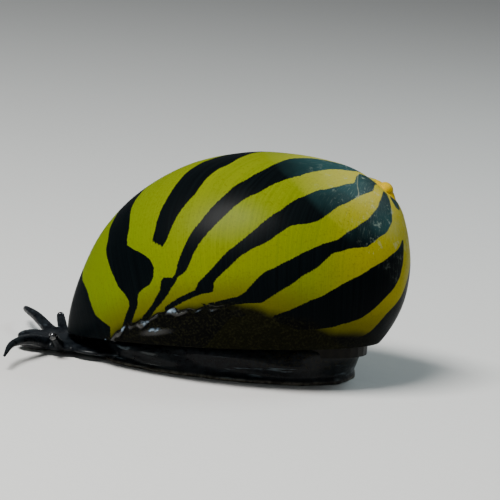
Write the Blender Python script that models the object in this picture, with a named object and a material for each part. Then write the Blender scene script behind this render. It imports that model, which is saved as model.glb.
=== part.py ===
"""A nerite snail, a still life-size model, crawling with its head toward -X.

The frame has +X toward the tail, +Y toward the snail's right and +Z up.  The
origin is on the floor under the middle of the sole.  The shell is one coiled
surface that grows by the same law all the way round, and every piece of the
soft body is set from the rim of that shell and from the floor.
Sizes are in millimetres and are turned to metres when a mesh is finished.
"""
import math

import bmesh
import bpy
from mathutils import Matrix, Vector

# Units and the play kept between neighbours
METRES_PER_MM = 0.001
GAP = 0.3
SLIVER = 0.00001
# Half width of the blocks that cut everything to one side of a plane
BLOCK_REACH = 40.0
SHARP_DEGREES = 35.0

# Shell: the coiling axis, seen from the side
APEX = Vector((9.67, 0.3, 13.2))
AXIS_TILT = 50.0
AXIS_LEAN = 10.0
TURN_GROWTH = 3.0
LIP_GROWTH = 1.6
SIDE_SQUEEZE = 0.86
CORE_DEPTH = 7.6
CORE_FORWARD = 0.6
LIP_TURN = -158.0
LAST_TURN = 720.0

# Shell: one whorl cut through the axis, as depth below the apex and reach out
WHORL_OUTLINE = (
    (0.61, 0.54), (0.68, 1.50), (0.88, 2.45), (1.50, 3.81), (2.99, 6.05),
    (5.17, 8.43), (8.43, 10.61), (12.10, 11.70), (15.50, 11.70),
    (18.50, 10.81), (21.42, 9.25), (23.46, 7.14), (24.62, 4.76), (25.02, 2.38))
OUTLINE_STEPS = 3
DEGREES_A_STEP = 4.6
NORMAL_TURN_STEP = 1.0
NORMAL_ROW_STEP = 0.05
# Patches of the coil that are joined: first and last turn, last outline row
SHELL_PATCHES = (
    (LIP_TURN, -20.0, 13.0), (-26.0, 106.0, 13.0), (100.0, 232.0, 13.0),
    (226.0, 358.0, 8.0), (352.0, 484.0, 6.0), (478.0, 600.0, 5.0),
    (594.0, LAST_TURN, 5.0))

# Shell: how the lip comes down to the rim on the far side
LIP_DROP = 8.0
LIP_DROP_FIRST = 40.0
LIP_DROP_SPAN = 110.0
LIP_DROP_POWER = 1.5

# Shell: the plane of the rim, lower on the far side and higher at the tail
RIM_HEIGHT = 2.11
RIM_SLOPE = -0.08
RIM_RISE = 0.064

# Shell: where the spire and the apex are parted from the body whorl
SPIRE_DEPTH = 1.75
APEX_DEPTH = 0.55
APEX_HALF = Vector((0.62, 0.88, 0.66))
APEX_SHIFT = Vector((0.05, 0.22, 0.0))
APEX_FACETS = (20, 14)

# Callus: the glazed shelf low on the near side
CALLUS_TURNS = (26.0, 152.0)
CALLUS_CREST_ROWS = (10.75, 10.02, 9.10, 8.45, 7.95, 7.78, 7.40, 7.20)
CALLUS_LAST_ROW = 12.2
CALLUS_STEPS = (30, 10)
CALLUS_PROUD = 0.16
CALLUS_THICK = 0.9
CALLUS_SEAT_PROUD = 2.0
# How far its seat goes past it, in degrees and outline rows for one mm
SEAT_TURNS_A_MM = 6.0
SEAT_ROWS_A_MM = 0.55

# Opening under the shell, with the deck beside it
OPENING_CENTRE = (-2.4, 1.4)
OPENING_HALF = (6.5, 4.7)
OPENING_DEPTH = 1.6
OPENING_SIDES = 40
CUT_PAST = 1.0
DECK_CENTRE = (-0.6, -4.1)
DECK_HALF = (6.4, 1.7)
DECK_THICK = 0.8
DECK_SQUARENESS = 3.0
DECK_SIDES = 40
DECK_SEAT_SIDES = 32
DECK_NOTCHES = 6
NOTCH_RADIUS = 0.28
NOTCH_PITCH = 0.95
NOTCH_SIDES = 10

# Soft body inside the opening
COLLAR_THICK = 1.0
COLLAR_SIDES = 36
COLUMN_PLAY = 2.0 * GAP + COLLAR_THICK
COLUMN_ROOT = 0.9
COLUMN_SIDES = 32

# Foot
FOOT_CENTRE = (-0.4, 0.3)
FOOT_HALF = (8.9, 5.9)
FOOT_SQUARENESS = 0.84
FOOT_SWING = -7.0
FOOT_EDGE_HEIGHT = 0.32
FOOT_WAVE = 0.08
FOOT_WAVES = 13
FOOT_LEAN = 0.42
FOOT_TAPER = 0.04
FOOT_SIDES = 66
# Rings of the foot: how far in from its outline, the height, and what it follows
FOOT_RINGS = (
    (0.0, 0.0, "edge"), (0.0, FOOT_EDGE_HEIGHT, "edge"),
    (0.30, 0.38, "top"), (0.55, 0.12, "top"), (0.95, 0.0, "top"))

# Operculum, carried on the back of the foot
LID_CENTRE = (5.4, -1.2)
LID_HALF = (3.7, 3.4)
LID_THICK = 0.65
LID_FRONT = 0.80
LID_FLATNESS = 0.25
LID_SQUARENESS = 0.85
LID_SIDES = 28

# Head, snout and mouth
HEAD_CENTRE = Vector((-11.75, 0.0, 0.62))
HEAD_HALF = Vector((2.4, 2.75, 0.57))
HEAD_FACETS = (32, 18)
SNOUT_CENTRE = Vector((-13.5, 0.0, 0.57))
SNOUT_HALF = Vector((1.35, 1.15, 0.48))
SNOUT_LOBE = 0.85
SNOUT_FACETS = (24, 16)
SNOUT_BACK = -13.4
FOOT_FRONT_CLEARANCE = 0.3
MOUTH_X = -14.75
MOUTH_HALF = Vector((0.40, 0.55, 0.16))
MOUTH_LEVEL = 0.38
MOUTH_FACETS = (16, 8)

# Tentacles: points along the left one, mirrored for the right
TENTACLE_ROOT = Vector((-12.65, -2.00, 0.82))
TENTACLE_BEND = Vector((-13.75, -3.95, 1.30))
TENTACLE_FAR = Vector((-14.65, -6.05, 1.35))
TENTACLE_TIP = Vector((-14.95, -8.45, 1.00))
TENTACLE_BASE_RADIUS = 0.40
TENTACLE_TIP_RADIUS = 0.17
TENTACLE_RINGS = 7
TENTACLE_SIDES = 12
TENTACLE_BREAKS = (0.0, 0.34, 0.67, 1.0)
TENTACLE_CLOSING = 0.96
TENTACLE_END = 0.55
TENTACLE_PATH_STEP = 0.01

# Eyes on short stalks just outside the tentacles
STALK_FOOT = Vector((-11.75, -2.05, 0.72))
STALK_TOP = Vector((-12.05, -3.25, 1.42))
STALK_RADIUS = 0.42
STALK_TAPER = 0.72
STALK_SIDES = 14
EYE_SUNK = 0.35
EYE_RADIUS = 0.27
EYE_FACETS = (16, 10)

# Colours and roughness in the source, the scene sets its own
SHELL_YELLOW = (0.35, 0.33, 0.06, 1.0)
APEX_ORANGE = (0.55, 0.28, 0.06, 1.0)
CALLUS_BROWN = (0.09, 0.08, 0.06, 1.0)
FLESH_BLACK = (0.012, 0.012, 0.014, 1.0)
LID_GREY = (0.05, 0.05, 0.05, 1.0)
EYE_BLACK = (0.004, 0.004, 0.005, 1.0)
SHELL_ROUGHNESS = 0.25
APEX_ROUGHNESS = 0.4
CALLUS_ROUGHNESS = 0.15
FLESH_ROUGHNESS = 0.3
LID_ROUGHNESS = 0.3
EYE_ROUGHNESS = 0.05


def axis_frame():
    """Three directions of the coil: to the apex, up the front and to the left."""
    tilt = math.radians(AXIS_TILT)
    lean = math.radians(AXIS_LEAN)
    to_apex = Vector((math.cos(tilt), math.sin(tilt) * math.sin(lean),
                      math.sin(tilt) * math.cos(lean)))
    up_front = Vector((-math.sin(tilt), math.cos(tilt) * math.sin(lean),
                       math.cos(tilt) * math.cos(lean)))
    to_left = Vector((0.0, -math.cos(lean), math.sin(lean)))
    return to_apex, up_front, to_left


TO_APEX, UP_FRONT, TO_LEFT = axis_frame()
# A point well inside the body whorl
CORE = APEX - CORE_DEPTH * TO_APEX + CORE_FORWARD * UP_FRONT


def smooth_value(points, place):
    """Point of a Catmull-Rom curve through points, place counted in points."""
    index = min(int(place), len(points) - 2)
    share = place - index
    middle = Vector(points[index])
    after = Vector(points[index + 1])
    before = Vector(points[index - 1]) if index > 0 else 2 * middle - after
    if index + 2 < len(points):
        beyond = Vector(points[index + 2])
    else:
        beyond = 2 * after - middle
    return 0.5 * (2 * middle + (after - before) * share
                  + (2 * before - 5 * middle + 4 * after - beyond) * share ** 2
                  + (3 * middle - before - 3 * after + beyond) * share ** 3)


def whorl_point(turn, row):
    """Point of the shell's surface at an angle of the coil and outline row."""
    depth, reach = smooth_value(WHORL_OUTLINE, row)
    growth = TURN_GROWTH if turn >= 0 else LIP_GROWTH
    size = growth ** (-turn / 360.0)
    past = max(-turn - LIP_DROP_FIRST, 0.0) / LIP_DROP_SPAN
    drop = LIP_DROP * past ** LIP_DROP_POWER
    angle = math.radians(turn)
    out = reach * (UP_FRONT * math.cos(angle)
                   + SIDE_SQUEEZE * TO_LEFT * math.sin(angle))
    return APEX + size * (out - depth * TO_APEX) - drop * TO_APEX


def whorl_normal(turn, row):
    """Outward direction of the shell's surface."""
    along = (whorl_point(turn + NORMAL_TURN_STEP, row)
             - whorl_point(turn - NORMAL_TURN_STEP, row))
    down = (whorl_point(turn, row + NORMAL_ROW_STEP)
            - whorl_point(turn, row - NORMAL_ROW_STEP))
    return down.cross(along).normalized()


def rim_height(x, y):
    """Height of the rim's plane."""
    return RIM_HEIGHT + RIM_RISE * x + RIM_SLOPE * y


def make_material(name, colour, roughness):
    """One Principled material."""
    material = bpy.data.materials.new(name)
    material.use_nodes = True
    shader = material.node_tree.nodes["Principled BSDF"]
    shader.inputs["Base Color"].default_value = colour
    shader.inputs["Roughness"].default_value = roughness
    shader.inputs["Metallic"].default_value = 0.0
    return material


def new_object(name, bm, collection):
    """Object from a bmesh, with its faces turned outward."""
    bmesh.ops.recalc_face_normals(bm, faces=bm.faces[:])
    mesh = bpy.data.meshes.new(name)
    bm.to_mesh(mesh)
    bm.free()
    made = bpy.data.objects.new(name, mesh)
    collection.objects.link(made)
    return made


def helper_object(name, bm):
    """Cutter or joining piece, kept out of the model."""
    made = new_object(name, bm, helper_collection)
    made.hide_render = True
    made.display_type = "WIRE"
    return made


def combine(target, operation, helper):
    """Boolean with one helper, applied, with the helper then removed."""
    modifier = target.modifiers.new("Combine", "BOOLEAN")
    modifier.operation = operation
    modifier.solver = "MANIFOLD"
    modifier.object = helper
    bpy.context.view_layer.update()
    graph = bpy.context.evaluated_depsgraph_get()
    result = bpy.data.meshes.new_from_object(target.evaluated_get(graph))
    target.modifiers.remove(modifier)
    target.data = result
    bpy.data.objects.remove(helper)


def keep_largest(target):
    """Leave only the largest closed surface of a mesh."""
    bm = bmesh.new()
    bm.from_mesh(target.data)
    bmesh.ops.dissolve_degenerate(bm, dist=SLIVER, edges=bm.edges[:])
    seen = set()
    groups = []
    for start in bm.verts:
        if start in seen:
            continue
        seen.add(start)
        group = [start]
        for vert in group:
            for edge in vert.link_edges:
                other = edge.other_vert(vert)
                if other not in seen:
                    seen.add(other)
                    group.append(other)
        groups.append(group)
    groups.sort(key=len)
    for group in groups[:-1]:
        bmesh.ops.delete(bm, geom=group, context="VERTS")
    bmesh.ops.triangulate(bm, faces=bm.faces[:])
    bm.to_mesh(target.data)
    bm.free()


def box_mesh(low, high):
    """Box between two corners."""
    bm = bmesh.new()
    bmesh.ops.create_cube(bm, size=1.0)
    size = Vector(high) - Vector(low)
    middle = (Vector(high) + Vector(low)) / 2
    bmesh.ops.scale(bm, vec=size, verts=bm.verts[:])
    bmesh.ops.translate(bm, vec=middle, verts=bm.verts[:])
    return bm


def below_rim(clearance):
    """Large block under the rim's plane, moved up by a clearance."""
    bm = box_mesh((-BLOCK_REACH, -BLOCK_REACH, -BLOCK_REACH), (BLOCK_REACH, BLOCK_REACH, 0))
    for vert in bm.verts:
        if vert.co.z > -BLOCK_REACH / 2:
            vert.co.z = rim_height(vert.co.x, vert.co.y) + clearance
    return bm


def axis_matrix(depth):
    """Frame whose Z runs along the axis to the apex, set at a depth."""
    across = TO_APEX.cross(UP_FRONT)
    turn = Matrix((UP_FRONT, across, TO_APEX)).transposed().to_4x4()
    return Matrix.Translation(APEX - depth * TO_APEX) @ turn


def above_depth(depth):
    """Large block on the apex side of a plane across the axis."""
    bm = box_mesh((-BLOCK_REACH, -BLOCK_REACH, 0), (BLOCK_REACH, BLOCK_REACH, BLOCK_REACH))
    bmesh.ops.transform(bm, matrix=axis_matrix(depth), verts=bm.verts[:])
    return bm


def ellipsoid(centre, half, segments, rings):
    """Ball stretched to three half widths."""
    bm = bmesh.new()
    bmesh.ops.create_uvsphere(bm, u_segments=segments, v_segments=rings, radius=1.0)
    bmesh.ops.scale(bm, vec=half, verts=bm.verts[:])
    bmesh.ops.translate(bm, vec=centre, verts=bm.verts[:])
    return bm


def ring_stack(outline, rings, sides):
    """Closed solid from rings: outline gives x, y, z for an angle and a ring."""
    bm = bmesh.new()
    made = bmesh.ops.create_circle(bm, segments=sides, radius=1.0)
    loop = made["verts"]
    angles = [math.atan2(vert.co.y, vert.co.x) for vert in loop]
    bmesh.ops.contextual_create(bm, geom=[e for e in bm.edges])
    for vert, angle in zip(loop, angles):
        vert.co = outline(angle, rings[0])
    edges = [edge for edge in bm.edges if edge.is_boundary or edge.is_wire]
    if not edges:
        edges = bm.edges[:]
    for ring in rings[1:]:
        made = bmesh.ops.extrude_edge_only(bm, edges=edges)
        new_verts = [item for item in made["geom"] if isinstance(item, bmesh.types.BMVert)]
        edges = [item for item in made["geom"] if isinstance(item, bmesh.types.BMEdge)
                 and all(vert in new_verts for vert in item.verts)]
        follow = {}
        for vert in new_verts:
            for edge in vert.link_edges:
                other = edge.other_vert(vert)
                if other not in new_verts:
                    follow[vert] = other
        angle_of = {vert: angle for vert, angle in zip(loop, angles)}
        loop = list(new_verts)
        angles = [angle_of[follow[vert]] for vert in loop]
        for vert, angle in zip(loop, angles):
            vert.co = outline(angle, ring)
    bmesh.ops.contextual_create(bm, geom=edges)
    return bm


def whorl_block(first, last, bottom_row):
    """Closed block: a patch of the shell's surface run in to the core."""
    steps = int(round((last - first) / DEGREES_A_STEP))
    rows = int(round(bottom_row * OUTLINE_STEPS))
    bm = bmesh.new()
    bmesh.ops.create_grid(bm, x_segments=steps, y_segments=rows, size=0.5)
    for vert in bm.verts:
        turn = first + (last - first) * (vert.co.x + 0.5)
        vert.co = whorl_point(turn, bottom_row * (vert.co.y + 0.5))
    rim = [edge for edge in bm.edges if edge.is_boundary]
    made = bmesh.ops.extrude_edge_only(bm, edges=rim)
    tips = [item for item in made["geom"] if isinstance(item, bmesh.types.BMVert)]
    bmesh.ops.pointmerge(bm, verts=tips, merge_co=CORE)
    return bm


def shell_solid(name):
    """The whole coil as one block, down to the plane of the rim."""
    whole = helper_object(name, whorl_block(*SHELL_PATCHES[0]))
    for patch in SHELL_PATCHES[1:]:
        combine(whole, "UNION", helper_object("Whorl part", whorl_block(*patch)))
    combine(whole, "DIFFERENCE", helper_object("Under the rim", below_rim(0.0)))
    return whole


def callus_row(turn):
    """Outline row of the callus edge, which climbs from front to back."""
    share = (turn - CALLUS_TURNS[0]) / (CALLUS_TURNS[1] - CALLUS_TURNS[0])
    place = max(0.0, min(1.0, share)) * (len(CALLUS_CREST_ROWS) - 1)
    crest = [(row, 0.0) for row in CALLUS_CREST_ROWS]
    return smooth_value(crest, place)[0]


def callus_sheet(grow, proud, thick):
    """Thick sheet that follows the shell's surface under the callus edge."""
    first = CALLUS_TURNS[0] - grow * SEAT_TURNS_A_MM
    last = CALLUS_TURNS[1] + grow * SEAT_TURNS_A_MM
    bm = bmesh.new()
    bmesh.ops.create_grid(bm, x_segments=CALLUS_STEPS[0], y_segments=CALLUS_STEPS[1], size=0.5)
    place = {}
    for vert in bm.verts:
        turn = first + (last - first) * (vert.co.x + 0.5)
        top = callus_row(turn) - grow * SEAT_ROWS_A_MM
        place[vert] = (turn, top + (CALLUS_LAST_ROW - top) * (vert.co.y + 0.5))
        vert.co = whorl_point(*place[vert]) + whorl_normal(*place[vert]) * proud
    under = {vert.co.copy().freeze(): place[vert] for vert in bm.verts}
    made = bmesh.ops.extrude_face_region(bm, geom=bm.faces[:], use_keep_orig=True)
    for vert in made["geom"]:
        if isinstance(vert, bmesh.types.BMVert):
            spot = under[vert.co.copy().freeze()]
            vert.co = whorl_point(*spot) + whorl_normal(*spot) * (proud - thick)
    return bm


def oval_prism(centre, half, low, high, sides, squareness=2.0):
    """Upright prism whose ends run parallel to the plane of the rim."""
    def outline(angle, ring):
        c = math.cos(angle)
        s = math.sin(angle)
        x = centre[0] + half[0] * math.copysign(abs(c) ** (2 / squareness), c)
        y = centre[1] + half[1] * math.copysign(abs(s) ** (2 / squareness), s)
        return Vector((x, y, rim_height(x, y) + ring))
    return ring_stack(outline, (low, high), sides)


def lid_prism(grow, low, high):
    """D-shaped prism, straight toward the shell and round toward the tail."""
    def outline(angle, ring):
        c = math.cos(angle)
        s = math.sin(angle)
        front = LID_HALF[0] * LID_FRONT
        reach = LID_HALF[0] if c > 0 else front * (1 - LID_FLATNESS * abs(s) ** 4)
        x = LID_CENTRE[0] + (reach + grow) * math.copysign(abs(c) ** LID_SQUARENESS, c)
        y = LID_CENTRE[1] + (LID_HALF[1] + grow) * math.copysign(abs(s) ** LID_SQUARENESS, s)
        return Vector((x, y, rim_height(x, y) + ring))
    return ring_stack(outline, (low, high), LID_SIDES)


def foot_outline(angle, ring):
    """Edge of the foot at an angle for one ring: inset share, height, kind."""
    inset, height, kind = ring
    c = math.cos(angle)
    s = math.sin(angle)
    half_length = FOOT_HALF[0] - inset
    half_width = (FOOT_HALF[1] - inset) * (1.0 - FOOT_TAPER * c)
    wave = FOOT_WAVE * math.cos(FOOT_WAVES * angle) if kind == "edge" else 0.0
    ahead = (half_length + wave) * math.copysign(abs(c) ** FOOT_SQUARENESS, c)
    aside = (half_width + wave) * math.copysign(abs(s) ** FOOT_SQUARENESS, s)
    swing = math.radians(FOOT_SWING)
    x = FOOT_CENTRE[0] + ahead * math.cos(swing) - aside * math.sin(swing)
    y = FOOT_CENTRE[1] + ahead * math.sin(swing) + aside * math.cos(swing)
    if kind == "top":
        x += FOOT_LEAN * max(c, 0.0) * (rim_height(x, y) - GAP - height)
        return Vector((x, y, rim_height(x, y) - GAP - height))
    return Vector((x, y, height))


def column_prism():
    """The part of the foot that goes up into the shell."""
    half = (OPENING_HALF[0] - COLUMN_PLAY, OPENING_HALF[1] - COLUMN_PLAY)
    return oval_prism(OPENING_CENTRE, half, -COLUMN_ROOT, OPENING_DEPTH - GAP, COLUMN_SIDES)


def tube_length(name, path, radius, first, last, side):
    """One length of a tentacle, closed by round ends."""
    bm = bmesh.new()
    bmesh.ops.create_circle(bm, segments=TENTACLE_SIDES, radius=1.0)
    start = list(bm.verts)
    angles = {vert: math.atan2(vert.co.y, vert.co.x) for vert in start}
    edges = bm.edges[:]
    bmesh.ops.contextual_create(bm, geom=edges)

    def place(verts, share):
        centre = path(share)
        ahead = (path(share + TENTACLE_PATH_STEP)
                 - path(share - TENTACLE_PATH_STEP)).normalized()
        across = ahead.cross(Vector((0, 0, 1))).normalized()
        up = across.cross(ahead)
        for vert in verts:
            angle = angles[vert]
            width = radius(share)
            vert.co = centre + width * (across * math.cos(angle) + up * math.sin(angle))

    place(start, first)
    loop = start
    for step in range(1, TENTACLE_RINGS + 1):
        made = bmesh.ops.extrude_edge_only(bm, edges=edges)
        new_verts = [item for item in made["geom"] if isinstance(item, bmesh.types.BMVert)]
        for vert in new_verts:
            for edge in vert.link_edges:
                other = edge.other_vert(vert)
                if other in loop:
                    angles[vert] = angles[other]
        edges = [item for item in made["geom"] if isinstance(item, bmesh.types.BMEdge)
                 and all(vert in new_verts for vert in item.verts)]
        loop = new_verts
        place(loop, first + (last - first) * step / TENTACLE_RINGS)
    bmesh.ops.contextual_create(bm, geom=edges)
    if side > 0:
        bmesh.ops.scale(bm, vec=(1, -1, 1), verts=bm.verts[:])
    return helper_object(name, bm)


def grown_head():
    """The head's form with the gap round it, which trims what stands on it."""
    return helper_object("Grown head", ellipsoid(
        HEAD_CENTRE, HEAD_HALF + Vector((GAP, GAP, GAP)), *HEAD_FACETS))


def tentacle_path(share):
    """Centre line of the left tentacle."""
    points = (TENTACLE_ROOT, TENTACLE_BEND, TENTACLE_FAR, TENTACLE_TIP)
    inside = max(min(share, 1.0), 0.0)
    ahead = (points[-1] - points[-2]) if share > 0.5 else (points[1] - points[0])
    spans = len(points) - 1
    return smooth_value(points, inside * spans) + ahead * (share - inside) * spans


def tentacle_radius(share):
    """A tentacle thins evenly and closes at its tip."""
    thin = TENTACLE_BASE_RADIUS + (TENTACLE_TIP_RADIUS - TENTACLE_BASE_RADIUS) * share
    if share > TENTACLE_CLOSING:
        return thin * TENTACLE_END
    return thin


def finish(name, target, material):
    """Move a finished mesh into the model under its own name."""
    keep_largest(target)
    helper_collection.objects.unlink(target)
    part_collection.objects.link(target)
    target.hide_render = False
    target.display_type = "TEXTURED"
    target.name = name
    target.data.name = name
    target.data.materials.clear()
    target.data.materials.append(material)
    return target


for old in list(bpy.data.objects):
    bpy.data.objects.remove(old)
part_collection = bpy.data.collections.new("Nerite snail")
helper_collection = bpy.data.collections.new("Cutters")
bpy.context.scene.collection.children.link(part_collection)
bpy.context.scene.collection.children.link(helper_collection)

shell_material = make_material("Striped shell", SHELL_YELLOW, SHELL_ROUGHNESS)
apex_material = make_material("Apex", APEX_ORANGE, APEX_ROUGHNESS)
callus_material = make_material("Callus", CALLUS_BROWN, CALLUS_ROUGHNESS)
flesh_material = make_material("Flesh", FLESH_BLACK, FLESH_ROUGHNESS)
lid_material = make_material("Operculum", LID_GREY, LID_ROUGHNESS)
eye_material = make_material("Eye", EYE_BLACK, EYE_ROUGHNESS)

# Body whorl: the coil below the spire, with seats for the callus and deck
body_whorl = shell_solid("body whorl")
combine(body_whorl, "DIFFERENCE",
        helper_object("Spire side", above_depth(SPIRE_DEPTH + GAP)))
combine(body_whorl, "DIFFERENCE",
        helper_object("Callus seat",
                      callus_sheet(GAP, CALLUS_SEAT_PROUD,
                                   CALLUS_SEAT_PROUD - CALLUS_PROUD + CALLUS_THICK + GAP)))
combine(body_whorl, "DIFFERENCE",
        helper_object("Opening",
                      oval_prism(OPENING_CENTRE, OPENING_HALF, -CUT_PAST, OPENING_DEPTH,
                                 OPENING_SIDES)))
deck_seat = (DECK_HALF[0] + GAP, DECK_HALF[1] + GAP)
combine(body_whorl, "DIFFERENCE",
        helper_object("Deck seat",
                      oval_prism(DECK_CENTRE, deck_seat, -CUT_PAST, DECK_THICK + GAP,
                                 DECK_SEAT_SIDES, DECK_SQUARENESS)))
finish("shell_body_whorl", body_whorl, shell_material)

# Spire: the low older whorls round the apex
spire = shell_solid("spire")
combine(spire, "INTERSECT", helper_object("Spire side", above_depth(SPIRE_DEPTH)))
combine(spire, "DIFFERENCE", helper_object("Apex side", above_depth(APEX_DEPTH + GAP)))
finish("shell_spire", spire, shell_material)

# Apex: the worn first whorls, a small blunt nub, longer across the shell
apex = helper_object("apex", ellipsoid(APEX_SHIFT, APEX_HALF, *APEX_FACETS))
apex.data.transform(axis_matrix(APEX_DEPTH))
combine(apex, "INTERSECT", helper_object("Apex side", above_depth(APEX_DEPTH)))
finish("shell_apex", apex, apex_material)

# Callus: a raised sheet of glaze over the lower near side
callus = helper_object("callus", callus_sheet(0.0, CALLUS_PROUD, CALLUS_THICK))
combine(callus, "DIFFERENCE", helper_object("Under the rim", below_rim(0.0)))
combine(callus, "DIFFERENCE",
        helper_object("Deck side",
                      oval_prism(DECK_CENTRE, deck_seat, -CUT_PAST, DECK_THICK + GAP,
                                 DECK_SEAT_SIDES, DECK_SQUARENESS)))
finish("shell_callus", callus, callus_material)

# Deck: the flat shelf beside the opening, with small teeth on its inner edge
deck = helper_object("deck", oval_prism(DECK_CENTRE, DECK_HALF, 0.0, DECK_THICK,
                                        DECK_SIDES, DECK_SQUARENESS))
deck_edge = (OPENING_HALF[0] + GAP / 2, OPENING_HALF[1] + GAP / 2)
combine(deck, "DIFFERENCE",
        helper_object("Opening side",
                      oval_prism(OPENING_CENTRE, deck_edge, -CUT_PAST, OPENING_DEPTH,
                                 OPENING_SIDES)))
for notch in range(DECK_NOTCHES):
    x = OPENING_CENTRE[0] + NOTCH_PITCH * (notch - (DECK_NOTCHES - 1) / 2)
    share = (x - OPENING_CENTRE[0]) / deck_edge[0]
    y = OPENING_CENTRE[1] - deck_edge[1] * math.sqrt(1.0 - share ** 2)
    combine(deck, "DIFFERENCE",
            helper_object("Notch", oval_prism((x, y), (NOTCH_RADIUS, NOTCH_RADIUS),
                                              -CUT_PAST, OPENING_DEPTH, NOTCH_SIDES)))
finish("columellar_deck", deck, callus_material)

# Collar: the edge of the mantle between shell and foot
collar_outer = (OPENING_HALF[0] - GAP, OPENING_HALF[1] - GAP)
collar_inner = (collar_outer[0] - COLLAR_THICK, collar_outer[1] - COLLAR_THICK)
collar = helper_object("collar", oval_prism(OPENING_CENTRE, collar_outer, 0.0,
                                            OPENING_DEPTH - GAP, COLLAR_SIDES))
combine(collar, "DIFFERENCE",
        helper_object("Collar hole", oval_prism(OPENING_CENTRE, collar_inner,
                                                -CUT_PAST, OPENING_DEPTH + CUT_PAST,
                                                COLLAR_SIDES)))
finish("mantle_collar", collar, flesh_material)

# Foot: a broad sole with a thin edge, and the column up into the shell
foot = helper_object("foot", ring_stack(foot_outline, FOOT_RINGS, FOOT_SIDES))
combine(foot, "UNION", helper_object("Column", column_prism()))
combine(foot, "DIFFERENCE",
        helper_object("Lid seat", lid_prism(GAP, -LID_THICK - 2 * GAP, CUT_PAST)))
finish("foot", foot, flesh_material)

# Operculum: a thin lid lying on the back of the foot
lid = helper_object("lid", lid_prism(0.0, -LID_THICK - GAP, -GAP))
finish("operculum", lid, lid_material)

# Head: a low broad lobe in front of the foot
head = helper_object("head", ellipsoid(HEAD_CENTRE, HEAD_HALF, *HEAD_FACETS))
front_block = ring_stack(
    lambda angle, ring: foot_outline(angle, (-FOOT_FRONT_CLEARANCE, ring, "side")),
    (-CUT_PAST, BLOCK_REACH), FOOT_SIDES)
combine(head, "DIFFERENCE", helper_object("Foot side", front_block))
combine(head, "DIFFERENCE",
        helper_object("Snout side", box_mesh((-BLOCK_REACH, -BLOCK_REACH, -BLOCK_REACH),
                                             (SNOUT_BACK + GAP, BLOCK_REACH, BLOCK_REACH))))
finish("head", head, flesh_material)

# Snout: a wide two-lobed muzzle with the mouth low in its front
lobe_shift = Vector((0.0, SNOUT_LOBE, 0.0))
snout = helper_object("snout", ellipsoid(SNOUT_CENTRE - lobe_shift, SNOUT_HALF,
                                         *SNOUT_FACETS))
combine(snout, "UNION",
        helper_object("Lobe", ellipsoid(SNOUT_CENTRE + lobe_shift, SNOUT_HALF, *SNOUT_FACETS)))
combine(snout, "DIFFERENCE",
        helper_object("Head side", box_mesh((SNOUT_BACK, -BLOCK_REACH, -BLOCK_REACH),
                                            (BLOCK_REACH, BLOCK_REACH, BLOCK_REACH))))
combine(snout, "DIFFERENCE",
        helper_object("Mouth", ellipsoid((MOUTH_X, 0.0, MOUTH_LEVEL), MOUTH_HALF,
                                         *MOUTH_FACETS)))
finish("snout", snout, flesh_material)

# Tentacles: three lengths on each side, thin and tapering
tentacle_length = (TENTACLE_TIP - TENTACLE_ROOT).length
play = GAP / tentacle_length / 2.0
for side_name, side in (("left", -1), ("right", 1)):
    for index, length_name in enumerate(("base", "middle", "tip")):
        first = TENTACLE_BREAKS[index] + (play if index else 0.0)
        last = TENTACLE_BREAKS[index + 1] - (0.0 if length_name == "tip" else play)
        length = tube_length("length", tentacle_path, tentacle_radius, first, last, side)
        if index == 0:
            combine(length, "DIFFERENCE", grown_head())
        finish("tentacle_" + side_name + "_" + length_name, length, flesh_material)

# Eyes: short stalks beside the tentacles, each with a black ball
for side_name, side in (("left", 1), ("right", -1)):
    flip = Vector((1, side, 1))
    root = STALK_FOOT * flip
    top = STALK_TOP * flip
    ahead = (top - root).normalized()
    turn = ahead.to_track_quat("Z", "Y").to_matrix().to_4x4()
    bm = bmesh.new()
    bmesh.ops.create_cone(bm, cap_ends=True, segments=STALK_SIDES, radius1=STALK_RADIUS,
                          radius2=STALK_RADIUS * STALK_TAPER, depth=(top - root).length)
    bmesh.ops.transform(bm, matrix=Matrix.Translation((top + root) / 2) @ turn,
                        verts=bm.verts[:])
    stalk = helper_object("stalk", bm)
    combine(stalk, "DIFFERENCE", grown_head())
    finish("eye_stalk_" + side_name, stalk, flesh_material)
    centre = top + ahead * (EYE_RADIUS * EYE_SUNK + GAP)
    bm = ellipsoid(centre, (EYE_RADIUS, EYE_RADIUS, EYE_RADIUS), *EYE_FACETS)
    finish("eye_" + side_name, helper_object("eye", bm), eye_material)

# From millimetres to metres
for made in part_collection.objects:
    made.data.transform(Matrix.Scale(METRES_PER_MM, 4))
    made.data.shade_smooth()
    made.data.set_sharp_from_angle(angle=math.radians(SHARP_DEGREES))
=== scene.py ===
import math

import bmesh
import bpy
import numpy as np
from mathutils import Matrix, Vector, kdtree


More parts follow.
